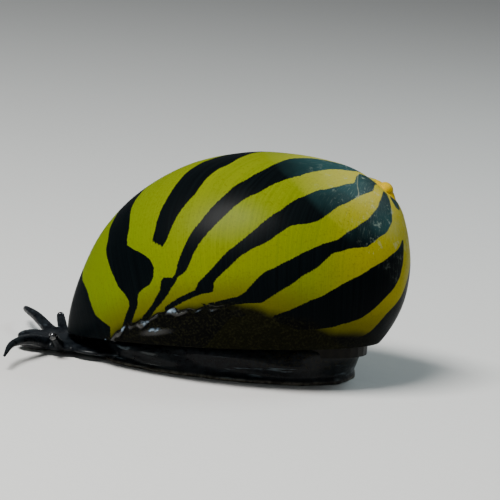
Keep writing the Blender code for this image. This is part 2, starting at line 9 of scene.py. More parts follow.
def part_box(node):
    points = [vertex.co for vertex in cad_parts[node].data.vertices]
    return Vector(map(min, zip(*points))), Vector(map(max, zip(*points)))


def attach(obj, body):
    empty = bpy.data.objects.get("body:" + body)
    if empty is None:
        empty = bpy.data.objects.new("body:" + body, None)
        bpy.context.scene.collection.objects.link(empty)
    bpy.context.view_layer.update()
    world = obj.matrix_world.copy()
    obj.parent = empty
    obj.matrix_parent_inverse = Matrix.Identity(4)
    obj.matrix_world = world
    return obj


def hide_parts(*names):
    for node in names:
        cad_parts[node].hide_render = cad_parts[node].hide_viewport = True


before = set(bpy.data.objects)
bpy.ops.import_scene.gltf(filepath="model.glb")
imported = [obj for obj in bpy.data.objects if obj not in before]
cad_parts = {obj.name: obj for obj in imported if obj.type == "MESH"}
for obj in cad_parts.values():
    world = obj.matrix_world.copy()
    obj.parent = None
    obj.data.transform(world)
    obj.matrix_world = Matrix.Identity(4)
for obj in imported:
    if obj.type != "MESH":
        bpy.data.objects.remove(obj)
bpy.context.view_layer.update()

# Camera
# It looks at the snail's left side from a little above, through a long lens,
# and is rolled so that the ground falls to the right. Sizes are in mm here and
# below, and the factor mm turns them into metres.
mm = 0.001
view_target = Vector((0.57, 0.0, 8.02)) * mm
view_elevation = math.radians(10.0)
view_roll = math.radians(5.0)
view_distance = 220 * mm
frame_width = 34 * mm
sensor_width = 36.0

camera_data = bpy.data.cameras.new("Camera")
camera_data.sensor_width = sensor_width
camera_data.lens = sensor_width * view_distance / frame_width
camera_data.clip_start = 0.01
camera_data.clip_end = 20.0
camera = bpy.data.objects.new("Camera", camera_data)
bpy.context.scene.collection.objects.link(camera)
forward = Vector((0, math.cos(view_elevation), -math.sin(view_elevation)))
level_up = Vector((0, math.sin(view_elevation), math.cos(view_elevation)))
level_right = Vector((1, 0, 0))
image_right = math.cos(view_roll) * level_right + math.sin(view_roll) * level_up
image_up = -math.sin(view_roll) * level_right + math.cos(view_roll) * level_up
camera.matrix_world = (
    Matrix.Translation(view_target - forward * view_distance)
    @ Matrix((image_right, image_up, -forward)).transposed().to_4x4())
bpy.context.scene.camera = camera

# Floor
# A plain pale sheet, far wider than the view, with a faint, fine tooth so
# that it doesn't look empty.
floor_half = 3.0
floor_mesh = bmesh.new()
bmesh.ops.create_grid(floor_mesh, x_segments=1, y_segments=1, size=floor_half)
floor_data = bpy.data.meshes.new("floor")
floor_mesh.to_mesh(floor_data)
floor_mesh.free()
floor = bpy.data.objects.new("floor", floor_data)
bpy.context.scene.collection.objects.link(floor)


def feed(tree, socket, value):
    """Set a socket to a number or a colour, or link another socket to it."""
    if isinstance(value, (int, float)):
        socket.default_value = value
    elif isinstance(value, tuple):
        socket.default_value = (*value, 1.0)
    else:
        tree.links.new(value, socket)


def new_material(name, values):
    """Material with its node tree, its shader and the place on the object."""
    made = bpy.data.materials.new(name)
    made.use_nodes = True
    tree = made.node_tree
    shader = tree.nodes["Principled BSDF"]
    for label, value in values.items():
        feed(tree, shader.inputs[label], value)
    place = tree.nodes.new("ShaderNodeTexCoord").outputs["Object"]
    return made, tree, shader, place


def add_noise(tree, place, scale, detail=3.0, roughness=0.5):
    """Cloudy noise on a place, from 0 to 1."""
    node = tree.nodes.new("ShaderNodeTexNoise")
    for label, value in (("Vector", place), ("Scale", scale), ("Detail", detail), ("Roughness", roughness)):
        feed(tree, node.inputs[label], value)
    return node.outputs["Fac"]


def add_relief(tree, shader, height, strength, depth_mm):
    """Fine bumps on a shader, as deep as the height says."""
    bump = tree.nodes.new("ShaderNodeBump")
    bump.inputs["Strength"].default_value = strength
    bump.inputs["Distance"].default_value = depth_mm * mm
    tree.links.new(height, bump.inputs["Height"])
    tree.links.new(bump.outputs["Normal"], shader.inputs["Normal"])


floor_paint, tree, shader, object_place = new_material(
    "Pale floor", {"Base Color": (0.52, 0.52, 0.51), "Roughness": 0.75, "Specular IOR Level": 0.25})
add_relief(tree, shader, add_noise(tree, object_place, 900), strength=0.15, depth_mm=0.2)
floor_data.materials.append(floor_paint)

# Studio lights
# One broad soft lamp above the front left, a faint one low at the left, a
# cool one behind the spire, and an even pale surround.
surround = bpy.data.worlds.new("Surround")
bpy.context.scene.world = surround
surround.use_nodes = True
backdrop = surround.node_tree.nodes["Background"]
backdrop.inputs["Color"].default_value = (0.88, 0.94, 1.0, 1)
backdrop.inputs["Strength"].default_value = 0.16


def add_lamp(name, place_mm, aim_mm, size_mm, watts, colour):
    """Soft rectangular lamp that points at a place."""
    data = bpy.data.lights.new(name, "AREA")
    data.shape = "RECTANGLE"
    data.size = size_mm[0] * mm
    data.size_y = size_mm[1] * mm
    data.energy = watts
    data.color = colour
    lamp = bpy.data.objects.new(name, data)
    bpy.context.scene.collection.objects.link(lamp)
    lamp.location = Vector(place_mm) * mm
    lamp.rotation_euler = (Vector(aim_mm) - Vector(place_mm)).to_track_quat("-Z", "Y").to_euler()


add_lamp("Key", (-80, -80, 185), (0, 0, 6), (110, 60), 1.05, (1.0, 0.98, 0.95))
add_lamp("Fill", (-170, -150, 60), (0, 0, 5), (60, 60), 0.07, (0.92, 1.0, 0.95))
add_lamp("Rim", (125, 85, 150), (4, 0, 8), (90, 70), 0.20, (0.80, 0.96, 1.0))

# Shell
# The real shell is one lime tube coiled round a tilted axis, each turn three
# times the size of the last, so that the newest hides most of the others. It
# is cut off nearly level at the rim, which rises a little toward the tail.
apex = np.array((9.67, 0.3, 13.2))
axis_tilt = math.radians(50.0)
axis_lean = math.radians(10.0)
to_apex = np.array((math.cos(axis_tilt), math.sin(axis_tilt) * math.sin(axis_lean),
                    math.sin(axis_tilt) * math.cos(axis_lean)))
up_front = np.array((-math.sin(axis_tilt), math.cos(axis_tilt) * math.sin(axis_lean),
                     math.cos(axis_tilt) * math.cos(axis_lean)))
to_left = np.array((0.0, -math.cos(axis_lean), math.sin(axis_lean)))
core_depth = 7.6
core_forward = 0.6
core = apex - core_depth * to_apex + core_forward * up_front
turn_growth = 3.0
lip_growth = 1.6
side_squeeze = 0.86
lip_turn = -158.0
last_turn = 720.0
lip_drop = 8.0
drop_starts = 40
drop_span = 110
drop_power = 1.5
whorl_outline = np.array((
    (0.61, 0.54), (0.68, 1.50), (0.88, 2.45), (1.50, 3.81), (2.99, 6.05),
    (5.17, 8.43), (8.43, 10.61), (12.10, 11.70), (15.50, 11.70),
    (18.50, 10.81), (21.42, 9.25), (23.46, 7.14), (24.62, 4.76), (25.02, 2.38)))
last_row = 13
rim_level = 2.11
rim_rise = 0.064
rim_slope = -0.08


def smooth_between(before, start, end, after, share):
    """Smooth curve from start to end, led by the points on either side."""
    return 0.5 * (2 * start + (end - before) * share
                  + (2 * before - 5 * start + 4 * end - after) * (share * share)
                  + (3 * start - before - 3 * end + after) * share ** 3)


def outline_at(rows):
    """Depth and reach of the whorl's outline, smooth between its points."""
    ends = np.vstack((2 * whorl_outline[0] - whorl_outline[1], whorl_outline,
                      2 * whorl_outline[-1] - whorl_outline[-2]))
    index = np.clip(rows.astype(int), 0, len(whorl_outline) - 2)
    share = (rows - index)[:, None]
    return smooth_between(ends[index], ends[index + 1], ends[index + 2], ends[index + 3], share)


def whorl_size(turns):
    """Size of the tube at angles of the coil, against its size in front."""
    return np.where(turns >= 0, turn_growth ** (-turns / 360), lip_growth ** (-turns / 360))


def whorl_points(turns, rows):
    """Places in mm on the shell for angles of the coil and outline rows."""
    outline = outline_at(rows)
    drop = lip_drop * (np.clip(-turns - drop_starts, 0, None) / drop_span) ** drop_power
    angle = np.radians(turns)
    ahead = np.cos(angle)[:, None] * up_front
    aside = np.sin(angle)[:, None] * (side_squeeze * to_left)
    out = outline[:, 1:] * (ahead + aside) - outline[:, :1] * to_apex
    return apex + whorl_size(turns)[:, None] * out - drop[:, None] * to_apex


def finished_object(name, shape):
    """Object in metres from a bmesh in millimetres."""
    bmesh.ops.recalc_face_normals(shape, faces=shape.faces[:])
    bmesh.ops.scale(shape, vec=(mm, mm, mm), verts=shape.verts[:])
    data = bpy.data.meshes.new(name)
    shape.to_mesh(data)
    shape.free()
    made = bpy.data.objects.new(name, data)
    bpy.context.scene.collection.objects.link(made)
    return made


def keep_result(target, modifier):
    """Make what a modifier gives the object's own mesh."""
    bpy.context.view_layer.update()
    graph = bpy.context.evaluated_depsgraph_get()
    result = bpy.data.meshes.new_from_object(target.evaluated_get(graph))
    target.modifiers.remove(modifier)
    target.data = result


def join_by(target, helper, operation):
    """Boolean with a helper, applied, with the helper then removed."""
    cut = target.modifiers.new("Join", "BOOLEAN")
    cut.operation = operation
    cut.solver = "MANIFOLD"
    cut.object = helper
    keep_result(target, cut)
    bpy.data.objects.remove(helper)


def whorl_block(first, last, steps, bottom_row, row_steps):
    """Patch of the shell's surface, closed by running its edges in to the core."""
    shape = bmesh.new()
    bmesh.ops.create_grid(shape, x_segments=steps, y_segments=row_steps, size=0.5)
    flat = np.array([vert.co for vert in shape.verts])
    turns = first + (last - first) * (flat[:, 0] + 0.5)
    rows = bottom_row * (flat[:, 1] + 0.5)
    for vert, spot in zip(shape.verts, whorl_points(turns, rows)):
        vert.co = spot
    border = [edge for edge in shape.edges if edge.is_boundary]
    grown = bmesh.ops.extrude_edge_only(shape, edges=border)["geom"]
    tips = [item for item in grown if isinstance(item, bmesh.types.BMVert)]
    bmesh.ops.pointmerge(shape, verts=tips, merge_co=Vector(core))
    return finished_object("whorl", shape)


def rim_at(x, y):
    """Height in mm of the plane of the rim, which climbs toward the tail."""
    return rim_level + rim_rise * x + rim_slope * y


def below_rim():
    """Block under the plane of the rim, wider than the shell."""
    block_size = 60.0
    shape = bmesh.new()
    bmesh.ops.create_cube(shape, size=block_size)
    bmesh.ops.translate(shape, vec=(0, 0, -block_size / 2), verts=shape.verts[:])
    for vert in shape.verts:
        if vert.co.z > -1:
            vert.co.z = rim_at(vert.co.x, vert.co.y)
    return finished_object("below rim", shape)


# Patches of the coil, each starting 3 degrees inside the one before: where
# it starts and ends, its faces along, its last row and its faces down.
shell = whorl_block(lip_turn, -20, 110, last_row, 120)
for patch in ((-23, 106, 104, last_row, 120), (103, 232, 104, last_row, 120), (229, 358, 70, 8, 60),
              (355, 484, 50, 6, 36), (481, 600, 40, 5, 24), (597, last_turn, 30, 5, 20)):
    join_by(shell, whorl_block(*patch), "UNION")
join_by(shell, below_rim(), "DIFFERENCE")

# the worn nub of the first whorls, and the middle of its bare patch
nub_half = (0.60, 0.86, 0.64)
nub_shift = (0.05, 0.22, 0.0)
nub_depth = 0.55
bare_depth = 0.45
nub = bmesh.new()
bmesh.ops.create_uvsphere(nub, u_segments=48, v_segments=32, radius=1.0)
bmesh.ops.scale(nub, vec=nub_half, verts=nub.verts[:])
bmesh.ops.translate(nub, vec=nub_shift, verts=nub.verts[:])
across = np.cross(to_apex, up_front)
bare_centre = apex - bare_depth * to_apex + nub_shift[0] * up_front + nub_shift[1] * across
nub_turn = Matrix(np.array((up_front, across, to_apex)).T.tolist()).to_4x4()
bmesh.ops.transform(nub, matrix=Matrix.Translation(apex - nub_depth * to_apex) @ nub_turn,
                    verts=nub.verts[:])
join_by(shell, finished_object("nub", nub), "UNION")

# the opening under the shell, where the foot comes out
opening_half = (6.5, 4.7)
opening_centre = (-2.4, 1.4)
opening_top = 1.6
opening_height = 5.0
hollow = bmesh.new()
bmesh.ops.create_cone(hollow, cap_ends=True, segments=96, radius1=1.0, radius2=1.0, depth=opening_height)
bmesh.ops.scale(hollow, vec=(*opening_half, 1.0), verts=hollow.verts[:])
bmesh.ops.translate(hollow, vec=(*opening_centre, opening_top - opening_height / 2), verts=hollow.verts[:])
for vert in hollow.verts:
    vert.co.z += rim_at(vert.co.x, vert.co.y)
join_by(shell, finished_object("hollow", hollow), "DIFFERENCE")
shell.name = "shell"
shell.data.name = "shell"

# how far each point lies round the coil and down the outline
turn_step = 1.5
row_step = 0.1
sample_turns, sample_rows = np.meshgrid(np.arange(lip_turn, last_turn, turn_step),
                                        np.arange(0, last_row + 0.01, row_step), indexing="ij")
sample_turns = sample_turns.ravel()
sample_rows = sample_rows.ravel()
samples = whorl_points(sample_turns, sample_rows)
one_degree = whorl_points(sample_turns + 0.5, sample_rows) - whorl_points(sample_turns - 0.5, sample_rows)
finder = kdtree.KDTree(len(samples))
for number, spot in enumerate(samples):
    finder.insert(spot, number)
finder.balance()


def share_of(step, away):
    """How much of each step lies along the way to each place."""
    return (away * step).sum(1) / np.maximum((step * step).sum(1), 1e-9)


def coil_places(data):
    """Place in mm, angle of the coil and outline row of each vertex of a mesh."""
    spots = np.empty(len(data.vertices) * 3)
    data.vertices.foreach_get("co", spots)
    spots = spots.reshape(-1, 3) / mm
    nearest = np.array([finder.find(spot)[1] for spot in spots])
    away = spots - samples[nearest]
    turns = sample_turns[nearest] + np.clip(share_of(one_degree[nearest], away), -1, 1)
    rows = sample_rows[nearest]
    upper = whorl_points(turns, np.clip(rows - row_step / 2, 0, last_row))
    lower = whorl_points(turns, np.clip(rows + row_step / 2, 0, last_row))
    away = spots - whorl_points(turns, rows)
    rows = rows + np.clip(row_step * share_of(lower - upper, away), -row_step, row_step)
    return spots, turns, rows


spots, turns, rows = coil_places(shell.data)

# The lines of growth, which the stripes and the lip run along: how many
# degrees of the coil a line lags behind at each row.
lag_rows = (0, 2, 3, 4, 5, 6, 7, 8, 9, 10, 11, 13)
lag_degrees = (-70, -60, -50, -38, -28, -15, 0, 15, 32, 48, 58, 70)

# Stripes: for each one its rows with its front and rear edge, in degrees
stripes = [
    ((-1, -118, -107), (2.0, -108, -97), (3.0, -98, -88), (4.0, -87, -77), (4.6, -80, -70),
     (6.0, -62, -48), (7.0, -52, -32), (8.0, -47, -16), (8.8, -47, -5), (9.3, -47, 3),
     (9.5, -47, 10), (9.75, -47, 16), (10.1, -46, 23), (10.3, -46, 33), (13, -42, 36)),
    ((-1, -85, -71), (2.0, -74, -61), (3.0, -64, -52), (4.0, -52, -40), (5.0, -42, -30),
     (6.0, -27, -15), (7.0, -11, 2), (7.5, -2, 10), (7.83, 3, 17), (8.0, 5, 20),
     (8.2, 8, 22.5), (8.37, 11, 25), (8.41, 11, 37), (8.47, 12, 41), (8.6, 13.5, 43),
     (8.8, 17.5, 44.5), (9.0, 22, 44.5), (9.17, 26.5, 42.5), (9.33, 31, 42), (9.45, 37, 43),
     (9.6, 40, 44), (10.3, 40, 44)),
    ((-1, -54, -38), (2.0, -44, -29), (3.0, -34, -20), (4.0, -22, -8), (5.0, -7, 8),
     (5.6, 4, 20), (6.2, 12, 26), (6.6, 18, 31), (7.0, 23, 33.5), (7.5, 29, 37.5),
     (7.75, 32, 39.5), (8.02, 34.5, 40.5)),
    ((-1, -22, 2), (1.0, -14, 10), (2.0, -2, 24), (2.7, 8, 34), (3.4, 12, 38),
     (4.4, 22, 42.5), (4.75, 28, 46), (5.3, 34, 46), (5.8, 38, 48), (6.4, 41, 48.5),
     (7.0, 44, 50), (7.6, 46.5, 52), (8.1, 49.5, 54), (8.3, 51, 54.5), (8.45, 51.8, 53.4),
     (8.62, 51.5, 54), (8.68, 47.5, 54), (9.0, 50, 54), (9.4, 50, 52.5), (9.9, 47.5, 51)),
    ((1.2, 30, 62), (2.4, 37, 70), (3.0, 50, 77), (3.4, 61, 77), (4.5, 60.5, 76),
     (5.5, 60, 75.5), (6.0, 61.5, 70.5), (6.5, 62, 70), (7.1, 62, 67), (8.1, 62, 66),
     (8.35, 61.5, 68.5), (8.55, 62.5, 65.5), (8.7, 61, 64), (9.0, 58, 61), (9.4, 55, 57)),
    ((1.8, 86, 96), (2.4, 89, 106), (2.9, 92, 111), (3.3, 94, 115), (3.7, 96, 118),
     (4.3, 95, 114), (4.8, 92.5, 108), (5.2, 90.5, 105), (5.5, 90, 98), (5.9, 86, 92.5),
     (6.4, 82, 92), (6.8, 80, 90), (7.3, 78, 88), (7.9, 78, 86), (8.1, 77, 82),
     (8.35, 74, 78), (8.6, 71, 75.5), (8.85, 66, 68)),
    ((4.1, 138, 141), (4.65, 130, 142), (4.9, 125, 142.5), (5.3, 119, 142), (5.6, 114, 140),
     (6.0, 110, 135), (6.4, 105.5, 131), (6.8, 103, 127), (7.1, 100.5, 122), (7.4, 98, 118.5),
     (7.7, 96, 112.5), (8.0, 93, 106), (8.15, 91, 98)),
    ((4.8, 164, 178), (5.7, 153, 178), (6.1, 147.5, 177), (6.4, 143, 176), (7.0, 139.5, 175),
     (7.2, 138, 174), (7.35, 135, 172), (7.5, 128, 170), (7.8, 120, 160)),
    ((0.6, 114, 150), (1.6, 108, 150), (2.0, 108, 148), (2.4, 116, 144), (2.7, 124, 137))]
# round the far side they go on as far as the lip, alongside the first
for ahead, width in ((25, 12), (49, 13), (76, 11), (101, 13)):
    stripes.append([(row, front - ahead, front - ahead + width) for row, front, rear in stripes[0]])
# and up the older turns, where only their tops show
older_stripe_turns = range(206, 700, 32)
for centre in older_stripe_turns:
    stripes.append([(0.6, centre - 9, centre + 7), (4.0, centre - 2, centre + 12),
                    (8.0, centre + 4, centre + 14)])

# how deep each point lies in a stripe, in mm, and how far outside it
row_height = 1.9
far_off = 9.0
degree_mm = whorl_size(turns) * outline_at(np.clip(rows, 0, last_row))[:, 1] * math.pi / 180
row_mm = row_height * whorl_size(turns)
inside = np.full(len(turns), -far_off)
for stripe in stripes:
    places = np.array(stripe, float)
    front = np.interp(rows, places[:, 0], places[:, 1])
    rear = np.interp(rows, places[:, 0], places[:, 2])
    depth = np.minimum(turns - front, rear - turns) * degree_mm
    ends = np.minimum(rows - places[0, 0], places[-1, 0] - rows) * row_mm
    inside = np.maximum(inside, np.minimum(depth, ends))

# The glaze covers the shell below a crest that climbs from front to back.
# How far below the crest each point lies, in mm, and none far round the coil.
crest_heights = (10.75, 10.02, 9.10, 8.45, 7.95, 7.78, 7.40, 7.20)
crest_first = 26
crest_last = 152
crest_rows = np.poly1d(np.polyfit(np.linspace(crest_first, crest_last, len(crest_heights)), crest_heights, 6))
crest_fit_ends = 150
crest_slope = 0.01
crest_here = (crest_rows(np.clip(turns, crest_first, crest_fit_ends))
              - crest_slope * np.clip(turns - crest_fit_ends, 0, 60))
# behind the bead the glaze starts a little higher
raised_turns = (60, 76)
raised_mm = (0.0, 0.4)
below_crest = (rows - crest_here) * row_height + np.interp(turns, raised_turns, raised_mm)
glaze_first = 16
glaze_last = 235
no_glaze = -6.0
below_crest = np.where((turns > glaze_first) & (turns < glaze_last), below_crest, no_glaze)

# an old scar, where the shell once stopped growing for a while
scar_rows = (2.2, 2.5, 3.3, 3.75, 4.3, 5.0)
scar_turns = (30, 38, 61.5, 75, 80, 83)
scar_last_row = 3.9
from_scar = (turns - np.interp(rows, scar_rows, scar_turns)) * degree_mm
from_scar = np.where((rows > scar_rows[0]) & (rows < scar_last_row), from_scar, far_off)

# Reach from the axis, which the wear, the golden tone lit by painted light and
# the painted sheen go by. It is counted longer well down from the apex, where
# the shell is clean.
clean_from = 4.5
clean_rate = 4.0
from_axis = np.linalg.norm(np.cross(spots - apex, np.broadcast_to(to_apex, spots.shape)), axis=1)
below_apex = -(spots - apex) @ to_apex
from_axis = from_axis + clean_rate * np.clip(below_apex - clean_from, 0, 4)


def keep_value(data, name, values):
    """Store one number a vertex for the shader."""
    kept = data.attributes.new(name, "FLOAT", "POINT")
    kept.data.foreach_set("value", np.asarray(values, np.float32))


keep_value(shell.data, "stripe_depth", np.clip(inside, -2.5, 2.5))
keep_value(shell.data, "growth_line", turns - np.interp(rows, lag_rows, lag_degrees))
keep_value(shell.data, "outline_row", rows)
keep_value(shell.data, "below_crest", np.clip(below_crest, no_glaze, -no_glaze))
keep_value(shell.data, "scar", from_scar)
keep_value(shell.data, "from_axis", from_axis)
keep_value(shell.data, "from_nub", np.linalg.norm(spots - bare_centre, axis=1))


def read_value(tree, name):
    """Number that each vertex carries under a name."""
    node = tree.nodes.new("ShaderNodeAttribute")
    node.attribute_name = name
    return node.outputs["Fac"]


def maths(tree, operation, *values):
    """Sum, product or the like of sockets and numbers."""
    node = tree.nodes.new("ShaderNodeMath")
    node.operation = operation
    for socket, value in zip(node.inputs, values):
        feed(tree, socket, value)
    return node.outputs[0]


def spread(tree, value, low, high, low_to=0.0, high_to=1.0):
    """Value made to run smoothly from low_to to high_to between two levels."""
    node = tree.nodes.new("ShaderNodeMapRange")
    node.clamp = True
    node.interpolation_type = "SMOOTHSTEP"
    for label, given in (("Value", value), ("From Min", low), ("From Max", high),
                         ("To Min", low_to), ("To Max", high_to)):
        feed(tree, node.inputs[label], given)
    return node.outputs["Result"]


def blend_colours(tree, share, first, second):
    """Mix of two colours, which a Mix node keeps at its places 6 and 7."""
    node = tree.nodes.new("ShaderNodeMix")
    node.data_type = "RGBA"
    for place, value in ((0, share), (6, first), (7, second)):
        feed(tree, node.inputs[place], value)
    return node.outputs[2]


def wobble(tree, value, noise, amount):
    """Value moved to and fro by a noise."""
    return maths(tree, "ADD", value, maths(tree, "MULTIPLY", maths(tree, "SUBTRACT", noise, 0.5), amount))


def split_axes(tree, place):
    """The X of a place, which grows toward the tail, and its Z, in metres."""
    node = tree.nodes.new("ShaderNodeSeparateXYZ")
    tree.links.new(place, node.inputs[0])
    return node.outputs["X"], node.outputs["Z"]


def growth_noise(tree, line_scale, row_scale, scale, detail, roughness):
    """Noise drawn out along the lines of growth."""
    node = tree.nodes.new("ShaderNodeCombineXYZ")
    feed(tree, node.inputs[0], maths(tree, "MULTIPLY", read_value(tree, "growth_line"), line_scale))
    feed(tree, node.inputs[1], maths(tree, "MULTIPLY", read_value(tree, "outline_row"), row_scale))
    return add_noise(tree, node.outputs[0], scale, detail, roughness)


def build_mottle():
    """Group for fine mottling: a noise, the mask it makes, and two colours mixed by it."""
    group = bpy.data.node_groups.new("Mottle", "ShaderNodeTree")
    for way, label, kind in (
            ("INPUT", "Place", "Vector"), ("INPUT", "Scale", "Float"), ("INPUT", "Detail", "Float"),
            ("INPUT", "Roughness", "Float"), ("INPUT", "Low", "Float"), ("INPUT", "High", "Float"),
            ("INPUT", "Ground", "Color"), ("INPUT", "Specks", "Color"),
            ("OUTPUT", "Noise", "Float"), ("OUTPUT", "Mask", "Float"), ("OUTPUT", "Colour", "Color")):
        group.interface.new_socket(name=label, in_out=way, socket_type="NodeSocket" + kind)
    given = group.nodes.new("NodeGroupInput").outputs
    result = group.nodes.new("NodeGroupOutput").inputs
    noise = add_noise(group, given["Place"], given["Scale"], given["Detail"], given["Roughness"])
    mask = spread(group, noise, given["Low"], given["High"])
    group.links.new(noise, result["Noise"])
    group.links.new(mask, result["Mask"])
    group.links.new(blend_colours(group, mask, given["Ground"], given["Specks"]), result["Colour"])
    return group


mottle = build_mottle()


def add_mottle(tree, **values):
    """The mottle group placed in a material with its own values."""
    node = tree.nodes.new("ShaderNodeGroup")
    node.node_tree = mottle
    for label, value in values.items():
        feed(tree, node.inputs[label.capitalize()], value)
    return node.outputs


olive_deep = (0.088, 0.118, 0.0008)
olive_light = (0.116, 0.146, 0.0015)
olive_cloudy = (0.105, 0.125, 0.001)
olive_front_and_green_shade = (0.070, 0.112, 0.0008)
gold_and_painted_light = (0.34, 0.27, 0.0006)
yellow_under_glaze_and_shade = (0.060, 0.050, 0.002)
yellow_specks = (0.06, 0.055, 0.004)
painted_sheen_on_yellow = (0.20, 0.25, 0.11)
black_deep = (0.0006, 0.0012, 0.0016)
black_light = (0.0018, 0.0034, 0.0040)
painted_sheen_on_black = (0.013, 0.044, 0.046)
scratch_pale = (0.26, 0.32, 0.26)
scar_pale = (0.34, 0.33, 0.20)
nub_orange = (0.40, 0.26, 0.0005)
# the glaze's near-black brown: its own brown darkened as painted shade of the underside
glaze_and_shade_mottle = {"scale": 6500, "detail": 2, "roughness": 0.7, "low": 0.45, "high": 0.7,
                "ground": (0.0010, 0.0011, 0.0010), "specks": (0.0075, 0.0075, 0.0035)}

shell_glaze, tree, shader, object_place = new_material(
    "Striped shell", {"Specular IOR Level": 0.015, "Coat Roughness": 0.34})
toward_tail, above_floor = split_axes(tree, object_place)
axis_reach = read_value(tree, "from_axis")
below = read_value(tree, "below_crest")

# edges of the stripes wander a little and are finely frayed along the growth
wander = add_noise(tree, object_place, 420, detail=2)
fray = growth_noise(tree, line_scale=0.9, row_scale=9.0, scale=1.6, detail=4, roughness=0.65)
edge = wobble(tree, wobble(tree, read_value(tree, "stripe_depth"), wander, 0.30), fray, 0.22)
black_share = spread(tree, edge, -0.035, 0.035)

# the yellow, streaked along the growth; greener and darker in front, partly the
# shell's own tone and partly painted green-tinted shade; golden toward the apex
# and the tail, brightened near the apex with painted light from above and behind
streak = growth_noise(tree, line_scale=1.6, row_scale=0.25, scale=1.0, detail=4, roughness=0.6)
cloud = add_noise(tree, object_place, 160)
yellow = blend_colours(tree, spread(tree, streak, 0.3, 0.7), olive_deep, olive_light)
yellow = blend_colours(tree, spread(tree, cloud, 0.35, 0.7, 0.0, 0.45), yellow, olive_cloudy)
front_tone_and_green_shade = spread(tree, toward_tail, -0.002, -0.010, 0.0, 0.6)
yellow = blend_colours(tree, front_tone_and_green_shade, yellow, olive_front_and_green_shade)
older = spread(tree, toward_tail, 0.004, 0.0115, 0.0, 0.65)
# golden toward the apex and the tail, the shell's own tone, made lighter near the apex as painted light from
# above and behind
gold_and_light_share = maths(tree, "MAXIMUM", spread(tree, axis_reach, 8.0, 1.5, 0.0, 0.85), older)
yellow = blend_colours(tree, gold_and_light_share, yellow, gold_and_painted_light)
# the yellow darkens toward the glaze crest: partly the brown glaze showing through, partly painted shade
# where the shell turns under
yellow = blend_colours(tree, spread(tree, below, -2.4, 0.0, 0.0, 0.75), yellow, yellow_under_glaze_and_shade)
speck = add_mottle(tree, place=object_place, scale=6500, detail=2, roughness=0.7, low=0.50, high=0.75)
yellow = blend_colours(tree, maths(tree, "MULTIPLY", speck["Mask"], 0.42), yellow, yellow_specks)

# the black, and a painted bluish sheen, a painted reflection of light from above,
# that lies in patches over both on the upper side
black = blend_colours(tree, spread(tree, streak, 0.35, 0.75), black_deep, black_light)
painted_sheen = maths(tree, "MULTIPLY", spread(tree, axis_reach, 8.5, 3.5, 0.0, 0.9), spread(tree, cloud, 0.30, 0.65))
painted_sheen = maths(tree, "MULTIPLY", painted_sheen, spread(tree, above_floor, 0.0088, 0.0112))
black = blend_colours(tree, painted_sheen, black, painted_sheen_on_black)
yellow = blend_colours(tree, maths(tree, "MULTIPLY", painted_sheen, 0.32), yellow, painted_sheen_on_yellow)
pattern = blend_colours(tree, black_share, yellow, black)

# the callus glaze, which thins out over the crest; its near-black brown is
# partly its own brown and partly painted shade of the underside
glaze_edge = maths(tree, "ADD", below, maths(tree, "MULTIPLY", wander, 0.8))
glaze_share = spread(tree, glaze_edge, 0.1, 0.8, 0.0, 0.97)
glaze_brown_and_shade = add_mottle(tree, place=object_place, **glaze_and_shade_mottle)["Colour"]
pattern = blend_colours(tree, glaze_share, pattern, glaze_brown_and_shade)

# wear: pale scratches round the apex, the scar, and the nub bare and orange
scratch = growth_noise(tree, line_scale=0.7, row_scale=0.9, scale=2.4, detail=6, roughness=0.75)
chips = add_noise(tree, object_place, 1500, detail=5, roughness=0.75)
worn = maths(tree, "MAXIMUM", spread(tree, scratch, 0.55, 0.68), spread(tree, chips, 0.57, 0.66))
scratch_share = maths(tree, "MULTIPLY", worn, spread(tree, axis_reach, 7.0, 2.8, 0.0, 0.46))
pattern = blend_colours(tree, scratch_share, pattern, scratch_pale)
scar_edge = maths(tree, "ADD", maths(tree, "ABSOLUTE", read_value(tree, "scar")),
                  maths(tree, "MULTIPLY", wander, 0.10))
scar_share = maths(tree, "MULTIPLY", spread(tree, scar_edge, 0.12, 0.05, 0.0, 0.45),
                   spread(tree, chips, 0.35, 0.6, 0.3, 1.0))
pattern = blend_colours(tree, scar_share, pattern, scar_pale)
nub_reach = maths(tree, "ADD", read_value(tree, "from_nub"), maths(tree, "MULTIPLY", wander, 0.4))
pattern = blend_colours(tree, spread(tree, nub_reach, 1.30, 1.10), pattern, nub_orange)
tree.links.new(pattern, shader.inputs["Base Color"])

# the shell is dull, a little less so on top, and growth lines stand up finely
tree.links.new(spread(tree, above_floor, 0.006, 0.0125, 0.0, 0.04), shader.inputs["Coat Weight"])
tree.links.new(spread(tree, cloud, 0.3, 0.75, 0.28, 0.48), shader.inputs["Roughness"])
growth_lines = growth_noise(tree, line_scale=2.2, row_scale=0.12, scale=1.6, detail=5, roughness=0.6)
line_height = maths(tree, "MULTIPLY", growth_lines, 0.8)
grain_height = maths(tree, "MULTIPLY", add_noise(tree, object_place, 1800), 0.25)
add_relief(tree, shader, maths(tree, "ADD", line_height, grain_height), strength=0.22, depth_mm=0.06)
shell.data.materials.clear()
shell.data.materials.append(shell_glaze)
shell.data.shade_smooth()
crease_angle = math.radians(38)
shell.data.set_sharp_from_angle(angle=crease_angle)
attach(shell, "root")
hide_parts("shell_body_whorl", "shell_spire", "shell_apex")

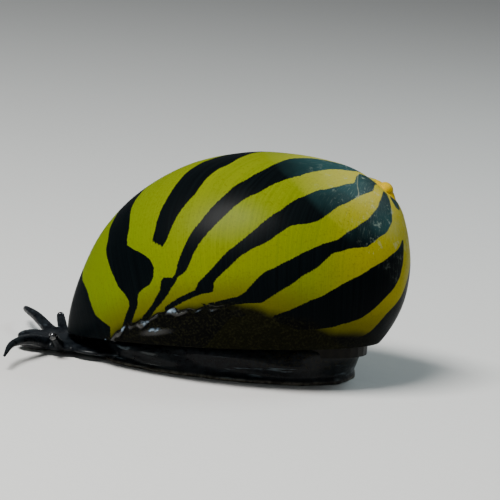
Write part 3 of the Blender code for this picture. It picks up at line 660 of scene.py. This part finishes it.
# Callus
# A sheet of glaze that the snail lays over the lower left side of the shell,
# near-black brown: its own brown darkened as painted shade of the underside. In
# front its upper edge stands up as a wet, glossy bead with painted bluish glints,
# that the stripes run under, and toward the back the sheet sinks into the shell.
sheet_first = 24.0
sheet_turns = 92.0
sheet_last_row = 12.4
sheet_thickness = 0.4
sheet_proud = 0.03
edge_tuck = 0.08
edge_width = 0.04
back_tuck = 0.10
fade_ends = 108
fade_span = 36
bead_height = 0.15
bead_down = 0.26
bead_width = 0.19
bead_ends = 86
bead_span = 26
least_bead = 0.15
fold_height = 0.13
fold_width = 0.16
fold_centre = 57
fold_reach = 9
fold_row = 10.15
fold_row_turn = 52
fold_slope = 0.03
rim_margin = 0.02
callus_shape = bmesh.new()
bmesh.ops.create_grid(callus_shape, x_segments=210, y_segments=60, size=0.5)
flat = np.array([vert.co for vert in callus_shape.verts])
callus_turns = sheet_first + sheet_turns * (flat[:, 0] + 0.5)
edge_wave = 0.06 * np.sin(callus_turns * 0.41) + 0.035 * np.sin(callus_turns * 1.13 + 1.0)
top_rows = crest_rows(callus_turns) + edge_wave
callus_rows = top_rows + (sheet_last_row - top_rows) * (flat[:, 1] + 0.5) ** 1.5
depth = (callus_rows - top_rows) * row_height
# the bead is uneven and dies down toward the back, and a fold runs below it
fade = np.clip((fade_ends - callus_turns) / fade_span, 0, 1)
beading = np.clip((bead_ends - callus_turns) / bead_span, least_bead, 1)
uneven = 0.8 + 0.35 * np.sin(callus_turns * 0.53 + 0.4) + 0.25 * np.sin(callus_turns * 1.31)
bead = bead_height * beading * uneven * np.exp(-((depth - bead_down) / bead_width) ** 2)
fold_strength = np.exp(-((callus_turns - fold_centre) / fold_reach) ** 2)
from_fold = callus_rows - fold_row + fold_slope * (callus_turns - fold_row_turn)
bead += fold_height * fold_strength * np.exp(-(from_fold / fold_width) ** 2)
lift = np.where(depth < edge_width, -edge_tuck, sheet_proud) + bead
lift = lift * fade - back_tuck * (1 - fade)
surface = whorl_points(callus_turns, callus_rows)
ahead = whorl_points(callus_turns + 0.5, callus_rows) - whorl_points(callus_turns - 0.5, callus_rows)
down = whorl_points(callus_turns, callus_rows + 0.03) - whorl_points(callus_turns, callus_rows - 0.03)
outward = np.cross(down, ahead)
outward /= np.linalg.norm(outward, axis=1)[:, None]
shine = callus_shape.verts.layers.float.new("bead")
for vert, spot, height in zip(callus_shape.verts, surface + outward * lift[:, None], bead * fade):
    vert.co = spot
    vert[shine] = height
everything = callus_shape.verts[:] + callus_shape.edges[:] + callus_shape.faces[:]
bmesh.ops.bisect_plane(callus_shape, geom=everything, plane_co=(0, 0, rim_level + rim_margin),
                       plane_no=(-rim_rise, -rim_slope, 1), clear_inner=True)
callus = finished_object("callus", callus_shape)
thickness = callus.modifiers.new("Thickness", "SOLIDIFY")
thickness.thickness = sheet_thickness * mm
thickness.offset = -1

painted_glint_blue = (0.30, 0.42, 0.55)
callus_glaze, tree, shader, object_place = new_material(
    "Callus glaze", {"Specular IOR Level": 0.02, "Coat Roughness": 0.05, "Roughness": 0.35})
on_bead = spread(tree, read_value(tree, "bead"), 0.05, 0.14)
# the near-black glaze brown is partly painted shade of the underside, and the bluish-white specks along the
# bead are painted glints
glint_specks = add_mottle(tree, place=object_place, scale=800, detail=3, roughness=0.5, low=0.50, high=0.62)
glaze = blend_colours(tree, maths(tree, "MULTIPLY", on_bead, glint_specks["Mask"]),
                      add_mottle(tree, place=object_place, **glaze_and_shade_mottle)["Colour"], painted_glint_blue)
tree.links.new(glaze, shader.inputs["Base Color"])
tree.links.new(on_bead, shader.inputs["Coat Weight"])
dimples = add_noise(tree, object_place, 900, detail=4, roughness=0.6)
add_relief(tree, shader, dimples, strength=0.6, depth_mm=0.08)
callus.data.materials.append(callus_glaze)
callus.data.shade_smooth()
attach(callus, "root")
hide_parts("shell_callus")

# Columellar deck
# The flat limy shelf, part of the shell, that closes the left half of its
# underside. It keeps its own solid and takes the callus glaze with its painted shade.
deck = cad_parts["columellar_deck"]
deck.data.materials.clear()
deck.data.materials.append(callus_glaze)

# Operculum
# A thin, dark limy lid with faint growth arcs, which grows on the back of the
# foot and shuts the shell. It keeps its own solid.
lid_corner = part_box("operculum")[0]
lid_dark = (0.003, 0.0026, 0.0018)
lid_brown = (0.006, 0.005, 0.003)
lid_paint, tree, shader, object_place = new_material(
    "Operculum lime", {"Roughness": 0.45, "Specular IOR Level": 0.1})
centred = tree.nodes.new("ShaderNodeMapping")
centred.inputs["Location"].default_value = (-lid_corner.x, -lid_corner.y, 0)
arcs = tree.nodes.new("ShaderNodeTexWave")
arcs.wave_type = "RINGS"
arcs.rings_direction = "Z"
arcs.inputs["Scale"].default_value = 420
arcs.inputs["Distortion"].default_value = 2.0
tree.links.new(object_place, centred.inputs["Vector"])
tree.links.new(centred.outputs["Vector"], arcs.inputs["Vector"])
lid_colour = blend_colours(tree, arcs.outputs["Fac"], lid_dark, lid_brown)
tree.links.new(lid_colour, shader.inputs["Base Color"])
add_relief(tree, shader, arcs.outputs["Fac"], strength=0.15, depth_mm=0.03)
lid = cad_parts["operculum"]
lid.data.materials.clear()
lid.data.materials.append(lid_paint)

# Soft body
# One wet black skin: a broad foot with a thin frilled edge, the neck under
# the front of the shell, a low head with a two-lobed snout, two long
# tentacles and the short stalks that carry the eyes.
foot_centre = (-0.4, 0.3)
foot_half = (8.9, 5.9)
foot_swing = math.radians(-7.0)
foot_bluntness = 0.84
foot_taper = 0.04
foot_lean = 0.42
lean_from = 0.4
frill_top = 0.5
frill_width = 0.07
fine_frill_width = 0.03
fold_depth = 0.05
wall_height = 0.65
rim_gap = 0.3
foot_shares = np.linspace(0, 1, 12)
foot_insets = (1.0, 0.25, 0.06, 0.0, 0.05, 0.16, 0.22, 0.20, 0.24, 0.36, 0.6, 1.6)
foot_heights = (0.0, 0.0, 0.03, 0.14, 0.27, 0.40, 0.55, 0.75, 0.92, 1.06, 1.15, 1.15)
tentacle_points = ((-12.2, -1.5, 0.72), (-12.65, -2.00, 0.82), (-13.75, -3.95, 1.30),
                   (-14.65, -6.05, 1.35), (-14.95, -8.42, 1.00))
stalk_points = ((-11.65, -1.65, 0.55), (-11.80, -2.3, 0.85), (-12.13, -3.56, 1.60))
# neck, head, the two lobes of the snout and what fills the notch between
# them: the middle and the half sizes of each, in mm
head_balls = (
    ((-9.2, 0.0, 0.62), (2.6, 3.4, 0.50)),
    ((-11.75, 0.0, 0.62), (2.35, 2.70, 0.54)),
    ((-13.50, -0.85, 0.57), (1.33, 1.13, 0.46)),
    ((-13.50, 0.85, 0.57), (1.33, 1.13, 0.46)),
    ((-13.0, 0.0, 0.60), (1.2, 1.4, 0.46)))
skin_cell = 0.085
smoothing_rounds = 4


def blunt(value):
    """Sine or cosine swollen toward its ends, for an oval with full corners."""
    return math.copysign(abs(value) ** foot_bluntness, value)


def foot_edge(angle, inset, wave):
    """Place in mm on the foot's outline, drawn in by an inset."""
    ahead = (foot_half[0] - inset + wave) * blunt(math.cos(angle))
    taper = 1 - foot_taper * math.cos(angle)
    aside = ((foot_half[1] - inset) * taper + wave) * blunt(math.sin(angle))
    return (foot_centre[0] + ahead * math.cos(foot_swing) - aside * math.sin(foot_swing),
            foot_centre[1] + ahead * math.sin(foot_swing) + aside * math.cos(foot_swing))


def foot_place(angle, share):
    """The foot's side, from the sole up to just under the rim of the shell."""
    inset = np.interp(share, foot_shares, foot_insets)
    height = np.interp(share, foot_shares, foot_heights)
    frill = max(0.0, 1.0 - height / frill_top)
    wave = (frill_width * frill * math.cos(13 * angle)
            + fine_frill_width * frill * math.cos(29 * angle + 1))
    fold = fold_depth * (1.0 - frill) * math.sin(7 * angle + 9 * height)
    x, y = foot_edge(angle, inset + fold, wave)
    top = rim_at(x, y) - rim_gap
    level = height
    if height >= frill_top:
        level = frill_top + (height - frill_top) * (top - frill_top) / wall_height
    lean = foot_lean * max(math.cos(angle), 0.0) * max(level - lean_from, 0.0)
    return (x + lean, y, level)


def add_rings(shape, sides, rings, place):
    """Closed form made of rings, each point placed by its angle and its share along."""
    part = bmesh.new()
    bmesh.ops.create_grid(part, x_segments=sides, y_segments=rings, size=0.5)
    for vert in part.verts:
        vert.co = place((vert.co.x + 0.5) * math.tau, vert.co.y + 0.5)
    bmesh.ops.remove_doubles(part, verts=part.verts[:], dist=0.0005)
    bmesh.ops.holes_fill(part, edges=[edge for edge in part.edges if edge.is_boundary], sides=0)
    bmesh.ops.recalc_face_normals(part, faces=part.faces[:])
    data = bpy.data.meshes.new("part")
    part.to_mesh(data)
    part.free()
    shape.from_mesh(data)
    bpy.data.meshes.remove(data)


def add_ball(shape, centre, half, sides=48, rings=32):
    """Stretched ball joined into a shape."""
    def place(angle, share):
        level = math.cos(share * math.pi)
        reach = math.sin(share * math.pi)
        out = Vector((half[0] * reach * math.cos(angle), half[1] * reach * math.sin(angle), half[2] * level))
        return out + Vector(centre)
    add_rings(shape, sides, rings, place)


def curve_point(points, share):
    """Smooth place along a few points."""
    place_on = max(0.0, min(share, 0.9999)) * (len(points) - 1)
    index = int(place_on)
    start = Vector(points[index])
    end = Vector(points[index + 1])
    before = Vector(points[index - 1]) if index else 2 * start - end
    after = Vector(points[index + 2]) if index + 2 < len(points) else 2 * end - start
    return smooth_between(before, start, end, after, place_on - index)


def add_tube(shape, points, radius, sides=28, rings=120):
    """Round tube along points, closed at both ends, with a radius for each share."""
    step = 0.02

    def place(angle, share):
        ahead = curve_point(points, min(share + step, 1)) - curve_point(points, max(share - step, 0))
        across = ahead.cross(Vector((0, 0, 1))).normalized()
        above = across.cross(ahead).normalized()
        out = across * math.cos(angle) + above * math.sin(angle)
        return curve_point(points, share) + radius(share) * out
    add_rings(shape, sides, rings, place)


def tentacle_radius(share):
    """It narrows more and more toward a tip 0.1 mm in radius."""
    return 0.42 * (1 - share) ** 0.75 + 0.10


def stalk_radius(share):
    """It narrows evenly from 0.44 mm to 0.3 mm."""
    return 0.44 - 0.14 * share


body = bmesh.new()
add_rings(body, 420, 45, foot_place)
for centre, half in head_balls:
    add_ball(body, centre, half)
for side in (-1, 1):
    add_tube(body, [(x, -side * y, z) for x, y, z in tentacle_points], tentacle_radius)
    add_tube(body, [(x, -side * y, z) for x, y, z in stalk_points], stalk_radius, rings=20)
skin = finished_object("soft body", body)
one_skin = skin.modifiers.new("One skin", "REMESH")
one_skin.mode = "VOXEL"
one_skin.voxel_size = skin_cell * mm
keep_result(skin, one_skin)
shape = bmesh.new()
shape.from_mesh(skin.data)
for smoothing in range(smoothing_rounds):
    bmesh.ops.smooth_vert(shape, verts=shape.verts[:], factor=0.5, use_axis_x=True, use_axis_y=True,
                          use_axis_z=True)
# the smoothing must not push the sole through the floor
for vert in shape.verts:
    vert.co.z = max(vert.co.z, 0.0)
shape.to_mesh(skin.data)
shape.free()
skin.name = "soft_body"

skin_black = (0.0015, 0.002, 0.003)
skin_grey = (0.006, 0.008, 0.010)
skin_specks = (0.012, 0.010, 0.004)
painted_fold_glints = (0.10, 0.13, 0.15)
sole_brown = (0.030, 0.026, 0.020)
sole_pale = (0.10, 0.09, 0.07)
flesh, tree, shader, object_place = new_material(
    "Wet black skin", {"Coat Weight": 0.12, "Coat Roughness": 0.12, "Specular IOR Level": 0.06})
toward_tail, above_floor = split_axes(tree, object_place)
stretched = tree.nodes.new("ShaderNodeMapping")
stretched.inputs["Scale"].default_value = (0.16, 0.4, 2.0)
tree.links.new(object_place, stretched.inputs["Vector"])
folds = add_noise(tree, stretched.outputs["Vector"], 1500, detail=4, roughness=0.6)
pore_size = {"scale": 2400, "detail": 3, "roughness": 0.6}
pores = add_mottle(tree, place=object_place, **pore_size, low=0.35, high=0.7,
                   ground=skin_black, specks=skin_grey)
upper = maths(tree, "MULTIPLY", spread(tree, above_floor, 0.0008, 0.0014),
              spread(tree, toward_tail, -0.002, 0.004))
speck = add_mottle(tree, place=object_place, **glaze_and_shade_mottle)
skin_colour = blend_colours(tree, maths(tree, "MULTIPLY", upper, speck["Mask"]), pores["Colour"], skin_specks)
# pale streaks along the folds are painted highlights of the wet skin
skin_colour = blend_colours(tree, spread(tree, folds, 0.60, 0.70, 0.0, 0.6), skin_colour, painted_fold_glints)
sole = add_mottle(tree, place=object_place, **pore_size, low=0.4, high=0.65,
                  ground=sole_brown, specks=sole_pale)
skin_colour = blend_colours(tree, spread(tree, above_floor, 0.00034, 0.00012), skin_colour, sole["Colour"])
tree.links.new(skin_colour, shader.inputs["Base Color"])
tree.links.new(spread(tree, pores["Noise"], 0.3, 0.7, 0.25, 0.5), shader.inputs["Roughness"])
skin_height = maths(tree, "ADD", folds, maths(tree, "MULTIPLY", pores["Noise"], 0.35))
add_relief(tree, shader, skin_height, strength=0.6, depth_mm=0.08)
skin.data.materials.clear()
skin.data.materials.append(flesh)
skin.data.shade_smooth()
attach(skin, "root")
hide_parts("foot", "head", "snout", "eye_stalk_left", "eye_stalk_right",
            "tentacle_left_base", "tentacle_left_middle", "tentacle_left_tip",
            "tentacle_right_base", "tentacle_right_middle", "tentacle_right_tip")

# Mantle collar
# The soft ring round the neck of the foot, which lays down new shell at the
# lip. It keeps its own solid, in the same skin.
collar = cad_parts["mantle_collar"]
collar.data.materials.clear()
collar.data.materials.append(flesh)

# Eyes
# Small black glassy balls, each set half into the tip of its stalk. They
# take their size from the solids.
eye_black = (0.002, 0.002, 0.003)
eye_grey = (0.008, 0.008, 0.01)
eye_gloss, tree, shader, object_place = new_material("Eye", {"Roughness": 0.08, "Coat Weight": 1.0})
eye_colour = blend_colours(tree, add_noise(tree, object_place, 4000), eye_black, eye_grey)
tree.links.new(eye_colour, shader.inputs["Base Color"])
for side_name in ("left", "right"):
    low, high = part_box("eye_" + side_name)
    ball = bmesh.new()
    add_ball(ball, (low + high) / 2 / mm, (high - low) / 2 / mm)
    eye = finished_object("eyeball_" + side_name, ball)
    eye.data.materials.append(eye_gloss)
    eye.data.shade_smooth()
    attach(eye, "root")
    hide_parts("eye_" + side_name)
